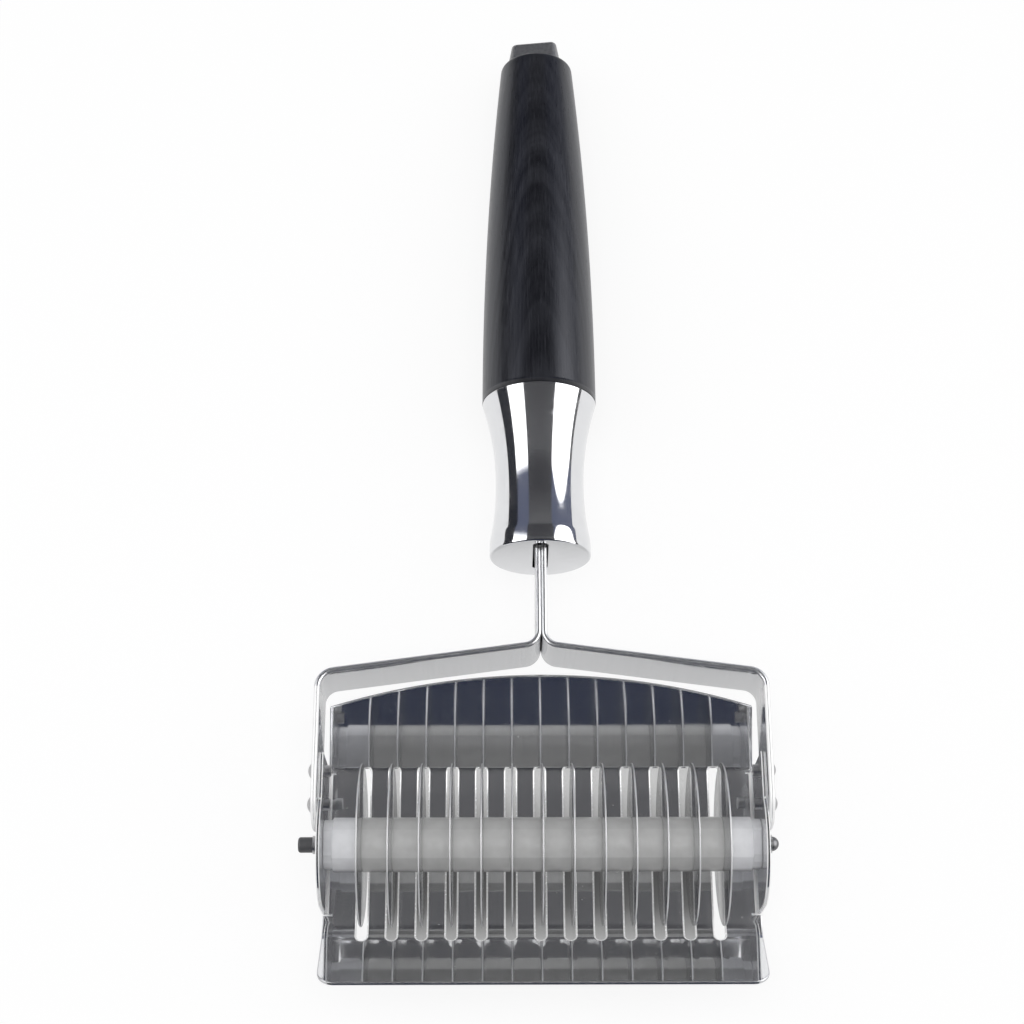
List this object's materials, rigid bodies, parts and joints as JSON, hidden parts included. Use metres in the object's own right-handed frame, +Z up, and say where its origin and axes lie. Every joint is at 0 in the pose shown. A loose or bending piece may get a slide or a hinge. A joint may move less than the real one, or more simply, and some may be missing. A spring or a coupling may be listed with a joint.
{
  "type": "pasta roller cutter",
  "caption": "Hand-held pasta cutter: a free-turning roller of thin disc blades and plastic spacers in a slotted steel guard, on a riveted fork with a waisted ferrule and dark wooden grip.",
  "frame": {"origin": "middle of the footprint's bounding box, on the table that the blades and the grip rest on", "axes": "+X along the axle, towards its domed head; +Y from the roller towards the grip's end cap; +Z up"},
  "size_m": [0.1118, 0.247, 0.0375],
  "materials": {
    "polished_sheet": "polished",
    "polished_strip": "polished",
    "ferrule_chrome": "mirror plated",
    "blade_steel": "fine brushed",
    "rivet_steel": "bright",
    "pin_steel": "bright turned",
    "satin_steel": "satin",
    "white_plastic": "milky, slightly glossy",
    "black_plastic": "matt",
    "dark_wood": "stained and waxed"
  },
  "bodies": {
    "frame": {"guard_plate": "polished_sheet", "fork_strip_left": "polished_strip", "fork_strip_right": "polished_strip", "rivets_left": "rivet_steel", "rivets_right": "rivet_steel", "ferrule": "ferrule_chrome", "wooden_handle": "dark_wood", "tie_rod": "pin_steel", "end_cap": "satin_steel", "axle_pin": "pin_steel", "axle_cap": "black_plastic", "axle_washer_left": "pin_steel", "axle_washer_right": "pin_steel"},
    "roller": {"end_spacer_left": "white_plastic", "end_spacer_right": "white_plastic", "blade_01": "blade_steel", "blade_02": "blade_steel", "blade_03": "blade_steel", "blade_04": "blade_steel", "blade_05": "blade_steel", "blade_06": "blade_steel", "blade_07": "blade_steel", "blade_08": "blade_steel", "blade_09": "blade_steel", "blade_10": "blade_steel", "blade_11": "blade_steel", "blade_12": "blade_steel", "blade_13": "blade_steel", "spacer_01": "white_plastic", "spacer_02": "white_plastic", "spacer_03": "white_plastic", "spacer_04": "white_plastic", "spacer_05": "white_plastic", "spacer_06": "white_plastic", "spacer_07": "white_plastic", "spacer_08": "white_plastic", "spacer_09": "white_plastic", "spacer_10": "white_plastic", "spacer_11": "white_plastic", "spacer_12": "white_plastic"}
  },
  "joints": [
    {"name": "roller_spin", "type": "hinge", "parent": "frame", "child": "roller", "pos_m": [0.00085, -0.09127, 0.01875], "axis": [1, 0, 0], "continuous": true}
  ]
}
